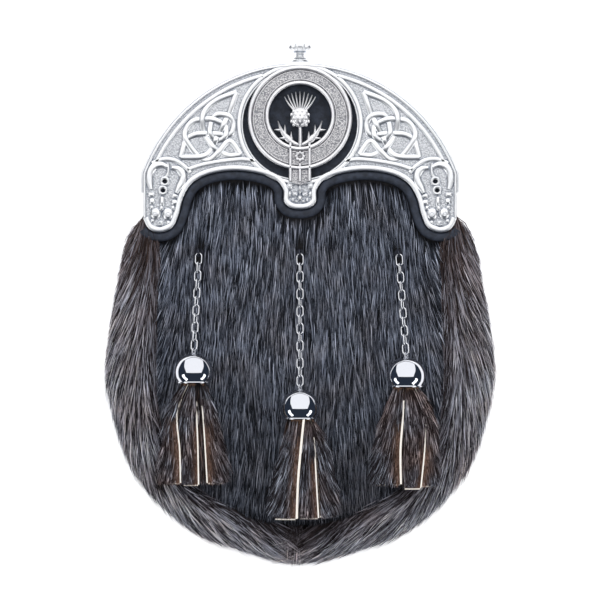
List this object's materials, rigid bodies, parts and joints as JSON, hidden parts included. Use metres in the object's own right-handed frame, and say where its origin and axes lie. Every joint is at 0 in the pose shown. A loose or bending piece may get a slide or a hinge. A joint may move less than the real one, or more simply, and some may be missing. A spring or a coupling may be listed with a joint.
{
  "type": "sporran pouch",
  "caption": "Fur dress pouch with a domed cast metal frame, round badge, chains and tassels hung from caps, and a turning clasp knob.",
  "frame": {"origin": "under the middle of the outline, on the surface that the pouch lies on", "axes": "+Y from the fur's point to the knob, +Z out of the front, +X to the right seen from the front"},
  "size_m": [0.1816, 0.252, 0.0528],
  "materials": {
    "cast_silver": "cast white metal, plated silver, polished on the raised lines, finely stippled ground with darkened recesses",
    "badge_pewter": "cast pewter, satin, darkened in the recesses",
    "chrome": "mirror-polished chrome plating",
    "black_leather": "black grained leather, semi-matt",
    "front_fur": "short dark blue-grey fur lying downwards, with paler guard hairs",
    "ruff_fur": "longer grey-brown fur with silvery guard hairs",
    "tassel_fur": "brown fur strips on cream skin, with grey guard hairs"
  },
  "bodies": {
    "pouch": {"cantle_front": "cast_silver", "back_frame": "cast_silver", "badge": "badge_pewter", "leather_backing": "black_leather", "scallop_piping": "black_leather", "gusset": "black_leather", "back_panel": "black_leather", "belt_loop_left": "black_leather", "belt_loop_right": "black_leather", "fur_front": "front_fur", "fur_ruff": "ruff_fur", "chain_anchor_left": "chrome", "left_link_01": "chrome", "left_link_02": "chrome", "left_link_03": "chrome", "left_link_04": "chrome", "left_link_05": "chrome", "left_link_06": "chrome", "left_link_07": "chrome", "left_link_08": "chrome", "left_link_09": "chrome", "left_link_10": "chrome", "left_link_11": "chrome", "cap_left": "chrome", "tassel_left": "tassel_fur", "chain_anchor_centre": "chrome", "centre_link_01": "chrome", "centre_link_02": "chrome", "centre_link_03": "chrome", "centre_link_04": "chrome", "centre_link_05": "chrome", "centre_link_06": "chrome", "centre_link_07": "chrome", "centre_link_08": "chrome", "centre_link_09": "chrome", "centre_link_10": "chrome", "centre_link_11": "chrome", "centre_link_12": "chrome", "centre_link_13": "chrome", "centre_link_14": "chrome", "centre_link_15": "chrome", "cap_centre": "chrome", "tassel_centre": "tassel_fur", "chain_anchor_right": "chrome", "right_link_01": "chrome", "right_link_02": "chrome", "right_link_03": "chrome", "right_link_04": "chrome", "right_link_05": "chrome", "right_link_06": "chrome", "right_link_07": "chrome", "right_link_08": "chrome", "right_link_09": "chrome", "right_link_10": "chrome", "right_link_11": "chrome", "cap_right": "chrome", "tassel_right": "tassel_fur"},
    "knob": {"clasp_knob": "cast_silver"}
  },
  "joints": [
    {"name": "knob_turn", "type": "hinge", "parent": "pouch", "child": "knob", "pos_m": [0, 0.1163, 0.021], "axis": [0, 1, 0], "range_deg": [0, 90]}
  ]
}
